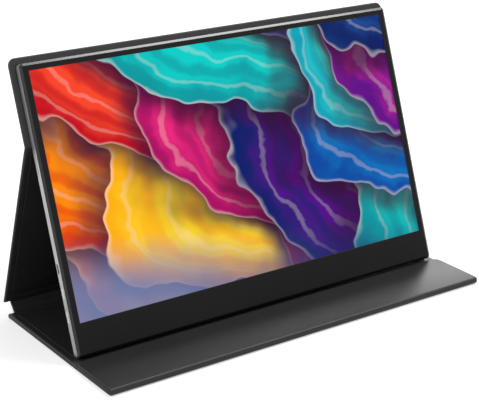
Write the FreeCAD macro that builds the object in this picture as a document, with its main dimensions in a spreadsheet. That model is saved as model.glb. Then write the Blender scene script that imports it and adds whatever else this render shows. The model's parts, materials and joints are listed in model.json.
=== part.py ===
import FreeCAD, Part
import os
import re

import Sketcher
from FreeCAD import Placement, Rotation, Vector

# A portable monitor that stands in its folding cover.
# The screen leans back on the cover's back panel, a strut panel props that up from behind, and the base panel
# lies on the table with a flap folded back over its front. +X is to the right, +Y to the back and +Z up.
# The origin is the middle of the footprint, on the table.

# Driving sizes, in millimetres and degrees.
SIZES = {
    # Picture area, the borders around it and the way the screen stands
    "active_wide": 344.2,
    "active_high": 193.6,
    "side_border": 7.0,
    "top_border": 6.0,
    "chin_high": 26.0,
    "tilt": 20.9,
    "screen_setback": 53.2,
    "foot_gap": 0.3,
    # Metal back shell
    "shell_floor": 1.0,
    "shell_wall": 1.2,
    "shell_edge": 1.5,
    "corner_radius": 3.0,
    "post_size": 6.0,
    "post_columns": 4,
    "post_rows": 3,
    "post_margin": 6.0,
    "post_side_margin": 72.0,
    # Front bezel
    "bezel_rim": 1.4,
    "bezel_lip": 0.75,
    "chamfer_wide": 2.1,
    "chamfer_deep": 1.0,
    # Display panel, from its back to its front
    "panel_margin": 2.5,
    "panel_foot": 8.0,
    "panel_clear": 0.3,
    "frame_wall": 1.6,
    "film_clear": 0.1,
    "tray_thick": 0.2,
    "reflector_thick": 0.15,
    "guide_thick": 0.8,
    "film_thick": 0.15,
    "cell_thick": 0.8,
    "polariser_thick": 0.2,
    "tape_thick": 0.2,
    "tape_reveal": 0.6,
    "led_high": 2.0,
    # Circuit boards
    "board_lift": 0.3,
    "board_thick": 0.8,
    "board_margin": 0.8,
    "driver_board_wide": 64.0,
    "driver_board_margin": 12.0,
    "timing_board_inset": 79.0,
    "timing_board_high": 10.0,
    "timing_board_drop": 2.0,
    "ribbon_wide": 6.0,
    "ribbon_thick": 0.15,
    "ribbon_overlap": 5.0,
    # Board screws
    "screw_inset": 4.0,
    "screw_radius": 0.8,
    "screw_clear": 0.05,
    "screw_head_radius": 1.5,
    "screw_head_high": 0.8,
    "screw_bite": 0.7,
    "boss_radius": 2.2,
    # Sockets on the left side
    "port_low": 31.9,
    "port_pitch": 18.6,
    "port_high": 3.2,
    "port_clear": 0.2,
    "port_recess": 0.2,
    "port_long": 7.4,
    "port_metal": 0.35,
    "port_back": 1.0,
    "usb_wide": 9.0,
    "usb_tongue_wide": 6.6,
    "hdmi_wide": 10.6,
    "hdmi_tongue_wide": 8.0,
    "hdmi_bevel": 1.0,
    "tongue_thick": 0.7,
    "tongue_setback": 0.8,
    # Speakers behind the rows of small holes
    "speaker_height_up": 151.7,
    "speaker_long": 36.0,
    "speaker_wide": 10.0,
    "speaker_clear": 0.2,
    "speaker_mouth_deep": 2.0,
    "speaker_wall": 1.0,
    "hole_radius": 0.5,
    "hole_pitch": 1.75,
    "hole_count": 13,
    "hole_row_gap": 1.9,
    # Controls on the right side
    "button_up": 62.0,
    "button_long": 9.0,
    "button_high": 2.2,
    "button_proud": 0.5,
    "button_clear": 0.2,
    "button_travel": 0.4,
    "flange_thick": 0.7,
    "flange_lip": 0.4,
    "flange_gap": 0.1,
    "switch_long": 8.0,
    "switch_wide": 4.5,
    "switch_gap": 0.1,
    "wheel_up": 45.0,
    "wheel_radius": 6.0,
    "wheel_proud": 1.2,
    "wheel_clear": 0.3,
    "pin_radius": 0.8,
    "pin_clear": 0.05,
    "button_board_wide": 15.4,
    "button_board_margin": 10.0,
    "button_board_gap": 1.5,
    "jack_up": 9.0,
    "jack_long": 11.0,
    "jack_wide": 6.4,
    "jack_bore": 1.8,
    "jack_bore_deep": 11.5,
    "jack_nose_wall": 0.7,
    "jack_clear": 0.2,
    # Magnet hold between screen and cover
    "plate_long": 120.0,
    "plate_high": 12.0,
    "plate_thick": 0.6,
    "plate_gap": 30.0,
    "magnet_long": 30.0,
    "magnet_clear": 0.1,
    "magnet_pitch": 75.0,
    "magnet_count": 4,
    # Cover panels: skin, stiff board and lining
    "skin_thick": 0.6,
    "stiffener_thick": 1.0,
    "base_stiffener_thick": 2.5,
    "flap_stiffener_thick": 0.5,
    "lining_thick": 0.6,
    "hem_wide": 5.5,
    "layer_clear": 0.1,
    "side_overhang": 4.6,
    "top_overhang": 5.6,
    "back_high": 67.5,
    "cover_corner": 6.0,
    "base_depth": 161.0,
    "flap_depth": 51.0,
    "rest_gap": 0.15,
    # Folds of the cover
    "fold_relief": 0.1,
    "fold_clear": 0.3,
    "fold_gap": 0.5,
    "fold_band_wide": 4.0,
    "spine_high": 9.4,
    "spine_turn": 50.5,
    "spine_inset": 6.0,
    "spine_board_thick": 0.8,
    "spine_board_margin": 1.8,
    "spine_board_setback": 3.0,
    "spine_board_clear": 0.05,
}

# Sizes that follow from the driving ones. A frame has a place (_y, _z) and a turn about X.
FORMULAS = {
    "screen_wide": "active_wide + 2 * side_border",
    "screen_high": "active_high + top_border + chin_high",
    "side": "screen_wide / 2",
    "side_inside": "side - shell_wall",
    # Depths in the screen, measured from its back face
    "board_space": "port_high + 2 * port_clear",
    "tray_at": "shell_floor + board_space",
    "reflector_at": "tray_at + tray_thick",
    "guide_at": "reflector_at + reflector_thick",
    "diffuser_at": "guide_at + guide_thick",
    "prism_at": "diffuser_at + film_thick",
    "cell_at": "prism_at + film_thick",
    "polariser_at": "cell_at + cell_thick",
    "tape_at": "polariser_at + polariser_thick",
    "lip_at": "tape_at + tape_thick",
    "screen_thick": "lip_at + bezel_lip",
    "shell_high": "screen_thick - bezel_rim",
    "board_at": "shell_floor + board_lift",
    "board_top": "board_at + board_thick",
    "port_at": "shell_floor + port_clear + port_high / 2",
    # Outline of the display panel and of what lies inside its frame
    "panel_side": "active_wide / 2 + panel_margin",
    "panel_low": "chin_high - panel_foot",
    "panel_top": "chin_high + active_high + panel_margin",
    "film_side": "panel_side - frame_wall - film_clear",
    "film_low": "panel_low + frame_wall + film_clear",
    "film_top": "panel_top - frame_wall - film_clear",
    "post_row_pitch": "panel_top - panel_low - 2 * post_margin - post_size",
    "post_column_pitch": "2 * (panel_side - post_side_margin) - post_size",
    # Boards
    "driver_left": "-side_inside + board_margin",
    "driver_right": "driver_left + driver_board_wide",
    "driver_low": "port_low - driver_board_margin",
    "driver_top": "port_low + 2 * port_pitch + driver_board_margin",
    "timing_side": "side - timing_board_inset",
    "timing_low": "shell_wall + timing_board_drop",
    "timing_top": "timing_low + timing_board_high",
    "screw_low": "driver_low + screw_inset",
    "screw_high_pitch": "driver_top - driver_low - 2 * screw_inset",
    "screw_right": "driver_right - screw_inset",
    "screw_wide_pitch": "driver_board_wide / 2",
    # Controls
    "button_at": "board_top + flange_lip + button_high / 2 - button_clear",
    "flange_outside": "side_inside - flange_gap",
    "flange_inside": "flange_outside - flange_thick",
    "button_board_right": "side_inside - button_board_gap",
    "button_board_left": "button_board_right - button_board_wide",
    "wheel_x": "side + wheel_proud - wheel_radius",
    "wheel_at": "board_top + wheel_clear",
    "wheel_top": "tray_at - wheel_clear",
    "wheel_chord": "sqrt(wheel_radius ^ 2 - (side_inside - wheel_x) ^ 2)",
    "jack_at": "(shell_floor + shell_high) / 2",
    "jack_right": "side_inside - jack_clear",
    # Cover panels
    "panel_thick": "skin_thick + stiffener_thick + lining_thick",
    "base_thick": "skin_thick + base_stiffener_thick + lining_thick",
    "flap_thick": "skin_thick + flap_stiffener_thick + lining_thick",
    "cover_side": "side + side_overhang",
    "spine_side": "cover_side - spine_inset",
    "fold_radius": "panel_thick / 2 - fold_relief",
    "edge_gap": "fold_radius + fold_clear",
    "edge_radius": "flap_thick / 2 - fold_relief",
    "front_gap": "edge_radius + fold_clear",
    # Frames: base, its front edge and the flap that lies on it
    "overall_deep": "edge_radius + base_depth + spine_high * cos(spine_turn) + fold_radius",
    "base_y": "edge_radius - overall_deep / 2",
    "base_z": "base_thick / 2",
    "base_turn": "0",
    "edge_y": "base_y",
    "edge_z": "base_z",
    "edge_turn": "90",
    "edge_high": "base_thick / 2 + fold_gap + flap_thick / 2",
    "flap_y": "base_y",
    "flap_z": "base_z + edge_high",
    "flap_turn": "atan2(fold_gap - rest_gap; -flap_depth)",
    # Frames: screen, back panel, spine and strut
    "foot_run": "screen_setback + screen_thick * cos(tilt)",
    "foot_rise": "shell_edge * (cos(tilt) + sin(tilt) - 1)",
    "screen_y": "base_y + foot_run",
    "screen_z": "base_thick + foot_gap - foot_rise",
    "screen_turn": "90 - tilt",
    "fold_height": "screen_high + top_overhang - back_high",
    "back_y": "screen_y + fold_height * sin(tilt) + panel_thick / 2 * cos(tilt)",
    "back_z": "screen_z + fold_height * cos(tilt) - panel_thick / 2 * sin(tilt)",
    "back_turn": "screen_turn",
    "spine_y": "base_y + base_depth",
    "spine_z": "base_thick - panel_thick / 2",
    "strut_y": "spine_y + spine_high * cos(spine_turn)",
    "strut_z": "spine_z + spine_high * sin(spine_turn)",
    "strut_turn": "atan2(back_z - strut_z; back_y - strut_y)",
    "strut_long": "hypot(back_y - strut_y; back_z - strut_z)",
    "plate_up": "fold_height + back_high / 2",
    "plate_pitch": "plate_long + plate_gap",
}

ALONG_X = Vector(1, 0, 0)
UP = Vector(0, 0, 1)
CLOSE = 1e-6

doc = FreeCAD.newDocument("portable_monitor")
sheet = doc.addObject("Spreadsheet::Sheet", "Sizes")
pieces = []


def fill_sheet():
    """Write every size into the sheet, one row each, under its own alias."""
    texts = {alias: str(size) for alias, size in SIZES.items()}
    texts.update({alias: "=" + formula for alias, formula in FORMULAS.items()})
    for row, (alias, text) in enumerate(texts.items(), start=1):
        sheet.set(f"A{row}", alias)
        sheet.set(f"B{row}", text)
        sheet.setAlias(f"B{row}", alias)
    doc.recompute()


def bound(formula):
    """Turn a formula in the sheet's aliases into an expression for another object."""
    def reach(word):
        known = word[0] in SIZES or word[0] in FORMULAS
        return "Sizes." + word[0] if known else word[0]
    return re.sub(r"[a-z]\w*", reach, formula)


def bind(item, formulas):
    """Bind properties of an object, by their paths, to formulas in the sheet's aliases."""
    for path, formula in formulas.items():
        item.setExpression(path, bound(formula))


def value(formula):
    """The present value of a formula in the sheet's aliases."""
    return float(sheet.evalExpression(formula))


def upright_edge(edge):
    """True for a straight edge along the piece's own Z."""
    ends = [vertex.Point for vertex in edge.Vertexes]
    return len(ends) == 2 and (ends[1] - ends[0]).cross(UP).Length < CLOSE


def level_edge(edge, height):
    """True for an edge that lies in the plane at this height of the piece's own Z."""
    return abs(edge.BoundBox.ZMin - height) < CLOSE and abs(edge.BoundBox.ZMax - height) < CLOSE


def rounded_rectangle(sketch, left, low, right, high, radius):
    """Draw a rectangle with round corners, its four sides and its radius bound to formulas."""
    x0, y0, x1, y1, r = (value(formula) for formula in (left, low, right, high, radius))
    starts = [(x0 + r, y0), (x1, y0 + r), (x1 - r, y1), (x0, y1 - r)]
    ends = [(x1 - r, y0), (x1, y1 - r), (x0 + r, y1), (x0, y0 + r)]
    centres = [(x1 - r, y0 + r), (x1 - r, y1 - r), (x0 + r, y1 - r), (x0 + r, y0 + r)]
    for turn, (start, end, centre) in enumerate(zip(starts, ends, centres)):
        corner = Part.Circle(Vector(*centre), UP, r)
        begin = FreeCAD.Units.Quantity(90 * (turn - 1), FreeCAD.Units.Angle).getValueAs("rad").Value
        finish = FreeCAD.Units.Quantity(90 * turn, FreeCAD.Units.Angle).getValueAs("rad").Value
        sketch.addGeometry(Part.LineSegment(Vector(*start), Vector(*end)))
        sketch.addGeometry(Part.ArcOfCircle(corner, begin, finish))
    for line in (0, 2, 4, 6):
        sketch.addConstraint(Sketcher.Constraint("Horizontal" if line in (0, 4) else "Vertical", line))
        sketch.addConstraint(Sketcher.Constraint("Tangent", line, 2, line + 1, 1))
        sketch.addConstraint(Sketcher.Constraint("Tangent", line + 1, 2, (line + 2) % 8, 1))
    for corner in (3, 5, 7):
        sketch.addConstraint(Sketcher.Constraint("Equal", 1, corner))
    hold(sketch, "Radius", (1,), radius)
    hold(sketch, "DistanceX", (-1, 1, 6, 1), left)
    hold(sketch, "DistanceX", (-1, 1, 2, 1), right)
    hold(sketch, "DistanceY", (-1, 1, 0, 1), low)
    hold(sketch, "DistanceY", (-1, 1, 4, 1), high)


def slot_outline(sketch, start, end, level, radius):
    """Draw a slot along the sketch's first axis, with round ends centred at start and end."""
    x0, x1, y, r = (value(formula) for formula in (start, end, level, radius))
    quarter = FreeCAD.Units.Quantity(90, FreeCAD.Units.Angle).getValueAs("rad").Value
    sketch.addGeometry(Part.LineSegment(Vector(x0, y - r), Vector(x1, y - r)))
    sketch.addGeometry(Part.ArcOfCircle(Part.Circle(Vector(x1, y), UP, r), -quarter, quarter))
    sketch.addGeometry(Part.LineSegment(Vector(x1, y + r), Vector(x0, y + r)))
    sketch.addGeometry(Part.ArcOfCircle(Part.Circle(Vector(x0, y), UP, r), quarter, 3 * quarter))
    for line in range(4):
        sketch.addConstraint(Sketcher.Constraint("Tangent", line, 2, (line + 1) % 4, 1))
    sketch.addConstraint(Sketcher.Constraint("Equal", 1, 3))
    hold(sketch, "Radius", (1,), radius)
    hold(sketch, "DistanceX", (-1, 1, 1, 3), end)
    hold(sketch, "DistanceX", (-1, 1, 3, 3), start)
    hold(sketch, "DistanceY", (-1, 1, 1, 3), level)
    hold(sketch, "DistanceY", (-1, 1, 3, 3), level)


def hold(sketch, kind, where, formula):
    """Add a dimension to a sketch and bind it to a formula."""
    index = sketch.addConstraint(Sketcher.Constraint(kind, *where, value(formula)))
    bind(sketch, {f"Constraints[{index}]": formula})


class Piece:
    """One sub-part: a body in one of the frames, with features bound to the sheet."""

    def __init__(self, label, frame):
        """Start an empty body that stands in the named frame."""
        self.body = doc.addObject("PartDesign::Body", label)
        self.body.Label = label
        self.body.Placement = Placement(Vector(), Rotation(ALONG_X, 1))
        bind(self.body, {
            "Placement.Base.y": f"{frame}_y",
            "Placement.Base.z": f"{frame}_z",
            "Placement.Rotation.Angle": f"{frame}_turn",
        })
        pieces.append(self.body)

    def feature(self, kind, formulas):
        """Add a feature with bound properties and make it the body's tip."""
        item = self.body.newObject("PartDesign::" + kind, kind)
        bind(item, formulas)
        self.body.Tip = item
        return item

    def box(self, low, high, kind="AdditiveBox"):
        """Add a box between two corners, given as formulas."""
        formulas = {}
        for size, axis, start, end in zip(("Length", "Width", "Height"), "xyz", low, high):
            formulas[size] = f"({end}) - ({start})"
            formulas[f"Placement.Base.{axis}"] = start
        return self.feature(kind, formulas)

    def cut_box(self, low, high):
        """Cut a box between two corners, given as formulas."""
        return self.box(low, high, "SubtractiveBox")

    def cylinder(self, centre, radius, length, axis=UP, kind="AdditiveCylinder"):
        """Add a cylinder from the centre of its first end along an axis."""
        formulas = {"Radius": radius, "Height": length}
        formulas.update({f"Placement.Base.{name}": place for name, place in zip("xyz", centre)})
        item = self.feature(kind, {})
        item.Placement = Placement(Vector(), Rotation(UP, axis))
        bind(item, formulas)
        return item

    def cut_cylinder(self, centre, radius, length, axis=UP):
        """Cut a cylinder from the centre of its first end along an axis."""
        return self.cylinder(centre, radius, length, axis, "SubtractiveCylinder")

    def sketch(self, plane, offset):
        """Start a sketch on one of the body's own planes, moved along its normal."""
        item = self.body.newObject("Sketcher::SketchObject", "profile")
        support = next(part for part in self.body.Origin.OriginFeatures if part.Role == plane)
        item.AttachmentSupport = [(support, "")]
        item.MapMode = "FlatFace"
        bind(item, {"AttachmentOffset.Base.z": offset})
        return item

    def pad(self, profile, length):
        """Raise a sketch along its normal."""
        item = self.feature("Pad", {"Length": length})
        item.Profile = profile
        return item

    def pocket(self, profile, length, along_normal=False):
        """Sink a sketch into the body, against its normal unless told otherwise."""
        item = self.feature("Pocket", {"Length": length})
        item.Profile = profile
        item.Reversed = along_normal
        return item

    def chosen_edges(self, wanted):
        """The tip feature and the names of its edges that a test picks out."""
        doc.recompute()
        base = self.body.Tip
        return base, [f"Edge{n}" for n, edge in enumerate(base.Shape.Edges, start=1) if wanted(edge)]

    def round_edges(self, wanted, radius):
        """Round the edges that a test picks out."""
        chosen = self.chosen_edges(wanted)
        self.feature("Fillet", {"Radius": radius}).Base = chosen

    def bevel_edges(self, wanted, size, size_across):
        """Chamfer the edges that a test picks out, with a size on each of the two faces."""
        chosen = self.chosen_edges(wanted)
        item = self.feature("Chamfer", {})
        item.ChamferType = "Two distances"
        bind(item, {"Size": size, "Size2": size_across})
        item.Base = chosen

    def repeat(self, originals, first, second=None):
        """Repeat features along one or two of the body's axes: (axis, overall length, number)."""
        item = self.feature("LinearPattern", {"Length": first[1], "Occurrences": first[2]})
        item.Originals = originals
        item.Direction = (self.axis(first[0]), [""])
        if second:
            item.Direction2 = (self.axis(second[0]), [""])
            bind(item, {"Length2": second[1], "Occurrences2": second[2]})
        return item

    def axis(self, name):
        """One of the body's own axes."""
        return next(part for part in self.body.Origin.OriginFeatures if part.Role == f"{name}_Axis")


def flat_box(label, low, high):
    """A plain rectangular piece of the screen."""
    piece = Piece(label, "screen")
    piece.box(low, high)
    return piece


def panel_sheet(label, start, thickness):
    """A sheet as large as the display panel."""
    return flat_box(label, ("-panel_side", "panel_low", start),
                    ("panel_side", "panel_top", f"{start} + {thickness}"))


def film_sheet(label, start, thickness, low="film_low"):
    """A sheet that lies inside the display panel's frame."""
    return flat_box(label, ("-film_side", low, start), ("film_side", "film_top", f"{start} + {thickness}"))


def port_height(step):
    """Height up the screen of a left-side socket, counted from the lowest."""
    return f"port_low + {step} * port_pitch"


def make_rear_shell():
    """Metal tray with posts for the panel, bosses for the driver board and openings in its side walls."""
    shell = Piece("rear_shell", "screen")
    outer = shell.sketch("XY_Plane", "0")
    rounded_rectangle(outer, "-side", "0", "side", "screen_high", "corner_radius")
    shell.pad(outer, "shell_high")
    shell.round_edges(lambda edge: level_edge(edge, 0), "shell_edge")
    hollow = shell.sketch("XY_Plane", "shell_high")
    rounded_rectangle(hollow, "-side_inside", "shell_wall", "side_inside", "screen_high - shell_wall",
                      "corner_radius - shell_wall")
    shell.pocket(hollow, "shell_high - shell_floor")
    post = shell.box(("-post_column_pitch / 2 - post_size / 2", "panel_low + post_margin", "shell_floor"),
                     ("-post_column_pitch / 2 + post_size / 2", "panel_low + post_margin + post_size",
                      "tray_at"))
    shell.repeat([post], ("X", "post_column_pitch", "post_columns"), ("Y", "post_row_pitch", "post_rows"))
    boss = shell.cylinder(("screw_right - screw_wide_pitch", "screw_low", "shell_floor"),
                          "boss_radius", "board_lift")
    hole = shell.cut_cylinder(("screw_right - screw_wide_pitch", "screw_low", "board_at - screw_bite"),
                              "screw_radius + screw_clear", "screw_bite")
    shell.repeat([boss, hole], ("X", "screw_wide_pitch", "2"), ("Y", "screw_high_pitch", "2"))
    cut_side_openings(shell)


def cut_side_openings(shell):
    """Speaker holes in both side walls, sockets in the left one and controls in the right one."""
    hole = shell.cut_cylinder(("-side - shell_wall", "speaker_height_up - hole_pitch * (hole_count - 1) / 2",
                               "port_at - hole_row_gap / 2"),
                              "hole_radius", "2 * (side + shell_wall)", ALONG_X)
    shell.repeat([hole], ("Y", "hole_pitch * (hole_count - 1)", "hole_count"), ("Z", "hole_row_gap", "2"))
    for step in (1, 2):
        mouth = shell.sketch("YZ_Plane", "-side_inside")
        reach = "(usb_wide - port_high) / 2"
        slot_outline(mouth, f"{port_height(step)} - {reach}", f"{port_height(step)} + {reach}", "port_at",
                     "port_high / 2 + port_clear / 2")
        shell.pocket(mouth, "shell_wall")
    shell.cut_box(("-side", "port_low - hdmi_wide / 2 - port_clear / 2",
                   "port_at - port_high / 2 - port_clear / 2"),
                  ("-side_inside", "port_low + hdmi_wide / 2 + port_clear / 2",
                   "port_at + port_high / 2 + port_clear / 2"))
    mouth = shell.sketch("YZ_Plane", "side")
    slot_outline(mouth, "button_up - (button_long - button_high) / 2",
                 "button_up + (button_long - button_high) / 2", "button_at", "button_high / 2 + button_clear")
    shell.pocket(mouth, "shell_wall")
    shell.cut_box(("side_inside", "wheel_up - wheel_chord - wheel_clear", "wheel_at - wheel_clear"),
                  ("side", "wheel_up + wheel_chord + wheel_clear", "wheel_top + wheel_clear"))
    shell.cut_cylinder(("side_inside", "jack_up", "jack_at"), "jack_bore + jack_nose_wall + jack_clear",
                       "shell_wall", ALONG_X)


def make_front_bezel():
    """Black frame with a chamfered rim, a recess for the panel and the picture window."""
    bezel = Piece("front_bezel", "screen")
    outer = bezel.sketch("XY_Plane", "shell_high")
    rounded_rectangle(outer, "-side", "0", "side", "screen_high", "corner_radius")
    bezel.pad(outer, "bezel_rim")
    front = value("screen_thick")
    bezel.bevel_edges(lambda edge: level_edge(edge, front), "chamfer_deep", "chamfer_wide")
    bezel.cut_box(("-panel_side - panel_clear", "panel_low - panel_clear", "shell_high"),
                  ("panel_side + panel_clear", "panel_top + panel_clear", "lip_at"))
    bezel.cut_box(("-active_wide / 2", "chin_high", "lip_at"),
                  ("active_wide / 2", "chin_high + active_high", "screen_thick"))


def make_display_panel():
    """The display panel as a stack: tray, frame, backlight, glass cell, polariser and tape."""
    panel_sheet("panel_tray", "tray_at", "tray_thick")
    frame = panel_sheet("panel_frame", "reflector_at", "(cell_at - reflector_at)")
    frame.cut_box(("-panel_side + frame_wall", "panel_low + frame_wall", "reflector_at"),
                  ("panel_side - frame_wall", "panel_top - frame_wall", "cell_at"))
    film_sheet("reflector_sheet", "reflector_at", "reflector_thick")
    film_sheet("light_guide", "guide_at", "guide_thick", "film_low + led_high + film_clear")
    flat_box("led_strip", ("-film_side", "film_low", "guide_at"),
             ("film_side", "film_low + led_high", "diffuser_at"))
    film_sheet("diffuser_film", "diffuser_at", "film_thick")
    film_sheet("prism_film", "prism_at", "film_thick")
    panel_sheet("lcd_cell", "cell_at", "cell_thick")
    panel_sheet("front_polariser", "polariser_at", "polariser_thick")
    tape = panel_sheet("bezel_tape", "tape_at", "tape_thick")
    tape.cut_box(("-active_wide / 2 - tape_reveal", "chin_high - tape_reveal", "tape_at"),
                 ("active_wide / 2 + tape_reveal", "chin_high + active_high + tape_reveal", "lip_at"))


def make_boards():
    """Driver board with notches for its sockets, timing board, flat cable and the driver board's screws."""
    driver = flat_box("driver_board", ("driver_left", "driver_low", "board_at"),
                      ("driver_right", "driver_top", "board_top"))
    for step, wide in enumerate(("hdmi_wide", "usb_wide", "usb_wide")):
        driver.cut_box(("driver_left", f"{port_height(step)} - {wide} / 2 - port_clear", "board_at"),
                       ("-side + port_recess + port_long + port_clear",
                        f"{port_height(step)} + {wide} / 2 + port_clear", "board_top"))
    hole = driver.cut_cylinder(("screw_right - screw_wide_pitch", "screw_low", "board_at"),
                               "screw_radius + screw_clear", "board_thick")
    driver.repeat([hole], ("X", "screw_wide_pitch", "2"), ("Y", "screw_high_pitch", "2"))

    flat_box("timing_board", ("-timing_side", "timing_low", "board_at"),
             ("timing_side", "timing_top", "board_top"))

    ribbon_low = "(timing_low + timing_top - ribbon_wide) / 2"
    ribbon_right = "-timing_side + ribbon_overlap"
    ribbon_left = "driver_right - ribbon_wide - 2 * screw_inset"
    ribbon = flat_box("panel_ribbon", (ribbon_left, ribbon_low, "board_top"),
                      (f"{ribbon_left} + ribbon_wide", "driver_low + ribbon_overlap",
                       "board_top + ribbon_thick"))
    ribbon.box((ribbon_left, ribbon_low, "board_top"),
               (ribbon_right, f"{ribbon_low} + ribbon_wide", "board_top + ribbon_thick"))

    screws = Piece("board_screws", "screen")
    head = screws.cylinder(("screw_right - screw_wide_pitch", "screw_low", "board_top"), "screw_head_radius",
                           "screw_head_high")
    shank = screws.cylinder(("screw_right - screw_wide_pitch", "screw_low", "board_at - screw_bite"),
                            "screw_radius", "screw_bite + board_thick")
    screws.repeat([head, shank], ("X", "screw_wide_pitch", "2"), ("Y", "screw_high_pitch", "2"))


def make_usb_port(label, step):
    """Metal socket shell with round ends and its contact tongue."""
    port = Piece(label, "screen")
    up = port_height(step)
    mouth = "-side + port_recess"
    reach = "(usb_wide - port_high) / 2"
    outer = port.sketch("YZ_Plane", mouth)
    slot_outline(outer, f"{up} - {reach}", f"{up} + {reach}", "port_at", "port_high / 2")
    port.pad(outer, "port_long")
    inner = port.sketch("YZ_Plane", mouth)
    slot_outline(inner, f"{up} - {reach}", f"{up} + {reach}", "port_at", "port_high / 2 - port_metal")
    port.pocket(inner, "port_long - port_back", along_normal=True)
    add_tongue(port, up, "usb_tongue_wide")


def make_hdmi_port():
    """Metal socket shell with two bevelled corners and its contact tongue."""
    port = Piece("mini_hdmi_port", "screen")
    mouth = "-side + port_recess"
    low = ("port_low - hdmi_wide / 2", "port_at - port_high / 2")
    high = ("port_low + hdmi_wide / 2", "port_at + port_high / 2")
    port.box((mouth, *low), (f"{mouth} + port_long", *high))
    floor = value(low[1])
    sides = (value(low[0]), value(high[0]))

    def lower_corner(edge):
        box = edge.BoundBox
        on_side = min(abs(box.YMin - side) + abs(box.YMax - side) for side in sides) < CLOSE
        return on_side and level_edge(edge, floor)

    port.bevel_edges(lower_corner, "hdmi_bevel", "hdmi_bevel")
    back = f"{mouth} + port_long - port_back"
    for inset, rise in (("port_metal", "hdmi_bevel + port_metal / 2"),
                        ("hdmi_bevel + port_metal / 2", "port_metal")):
        port.cut_box((mouth, f"{low[0]} + {inset}", f"{low[1]} + {rise}"),
                     (back, f"{high[0]} - ({inset})", f"{high[1]} - port_metal"))
    add_tongue(port, "port_low", "hdmi_tongue_wide")


def add_tongue(port, up, wide):
    """Contact tongue in the middle of a socket, rooted in the socket's back."""
    port.box(("-side + port_recess + tongue_setback", f"{up} - {wide} / 2", "port_at - tongue_thick / 2"),
             ("-side + port_recess + port_long - port_back", f"{up} + {wide} / 2",
              "port_at + tongue_thick / 2"))


def make_speaker(label, inner, outer, mouth_start, mouth_end):
    """Box speaker whose mouth faces the holes in the side wall."""
    low = ("speaker_height_up - speaker_long / 2", "shell_floor + speaker_clear")
    high = ("speaker_height_up + speaker_long / 2", "tray_at - speaker_clear")
    speaker = flat_box(label, (inner, *low), (outer, *high))
    speaker.cut_box((mouth_start, f"{low[0]} + speaker_wall", f"{low[1]} + speaker_wall"),
                    (mouth_end, f"{high[0]} - speaker_wall", f"{high[1]} - speaker_wall"))


def make_speakers():
    """A speaker behind each side wall."""
    wall = "side_inside - speaker_clear"
    make_speaker("left_speaker", f"-({wall})", f"-({wall}) + speaker_wide", f"-({wall})",
                 f"-({wall}) + speaker_mouth_deep")
    make_speaker("right_speaker", f"{wall} - speaker_wide", wall, f"{wall} - speaker_mouth_deep", wall)


def make_controls():
    """Board on the right side with a switch, the power button, and the menu wheel on its pin."""
    board = flat_box("button_board", ("button_board_left", "wheel_up - button_board_margin", "board_at"),
                     ("button_board_right", "button_up + button_board_margin", "board_top"))
    stop = "flange_inside - button_travel - switch_gap"
    board.box((f"{stop} - switch_wide", "button_up - switch_long / 2", "board_top"),
              (stop, "button_up + switch_long / 2", "button_at + button_high / 2"))
    board.cut_cylinder(("wheel_x", "wheel_up", "board_at"), "pin_radius", "board_thick")

    button = Piece("power_button", "screen")
    reach = "(button_long - button_high) / 2"
    cap = button.sketch("YZ_Plane", "flange_outside")
    slot_outline(cap, f"button_up - {reach}", f"button_up + {reach}", "button_at", "button_high / 2")
    button.pad(cap, "side + button_proud - flange_outside")
    flange = button.sketch("YZ_Plane", "flange_inside")
    slot_outline(flange, f"button_up - {reach}", f"button_up + {reach}", "button_at",
                 "button_high / 2 + button_clear + flange_lip")
    button.pad(flange, "flange_thick")

    wheel = Piece("menu_wheel", "screen")
    wheel.cylinder(("wheel_x", "wheel_up", "wheel_at"), "wheel_radius", "wheel_top - wheel_at")
    wheel.cut_cylinder(("wheel_x", "wheel_up", "wheel_at"), "pin_radius + pin_clear", "wheel_top - wheel_at")

    pin = Piece("menu_wheel_pin", "screen")
    pin.cylinder(("wheel_x", "wheel_up", "board_at"), "pin_radius", "wheel_top - board_at")


def make_headphone_jack():
    """Socket block with a round nose that reaches into the right wall."""
    jack = flat_box("headphone_jack",
                    ("jack_right - jack_long", "jack_up - jack_wide / 2", "shell_floor + jack_clear"),
                    ("jack_right", "jack_up + jack_wide / 2", "shell_high - jack_clear"))
    jack.cylinder(("jack_right", "jack_up", "jack_at"), "jack_bore + jack_nose_wall",
                  "side - jack_right", ALONG_X)
    jack.cut_cylinder(("side - jack_bore_deep", "jack_up", "jack_at"), "jack_bore", "jack_bore_deep", ALONG_X)


def make_steel_plates():
    """Two steel strips on the shell's floor, where the cover's magnets lie."""
    plates = Piece("steel_plates", "screen")
    plate = plates.box(("-plate_pitch / 2 - plate_long / 2", "plate_up - plate_high / 2", "shell_floor"),
                       ("-plate_pitch / 2 + plate_long / 2", "plate_up + plate_high / 2",
                        "shell_floor + plate_thick"))
    plates.repeat([plate], ("X", "plate_pitch", "2"))


def make_cover_panel(name, thick, start, end, free_end=None):
    """One panel of the cover: a skin with a raised hem, and in it a stiff board under a lining."""
    skin = Piece(f"{name}_skin", name)
    skin.box(("-cover_side", start, f"-{thick} / 2"), ("cover_side", end, f"{thick} / 2"))
    if free_end:
        place = value(free_end)
        skin.round_edges(lambda edge: upright_edge(edge) and abs(edge.BoundBox.YMin - place) < CLOSE,
                         "cover_corner")
    skin.cut_box(("-cover_side + hem_wide", f"{start} + hem_wide", f"-{thick} / 2 + skin_thick"),
                 ("cover_side - hem_wide", f"{end} - hem_wide", f"{thick} / 2"))
    inset = "(hem_wide + layer_clear)"
    layers = {}
    for layer, low, high in (("board", f"-{thick} / 2 + skin_thick", f"{thick} / 2 - lining_thick"),
                             ("lining", f"{thick} / 2 - lining_thick", f"{thick} / 2")):
        layers[layer] = Piece(f"{name}_{layer}", name)
        layers[layer].box((f"-cover_side + {inset}", f"{start} + {inset}", low),
                          (f"cover_side - {inset}", f"{end} - {inset}", high))
    return layers


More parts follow.
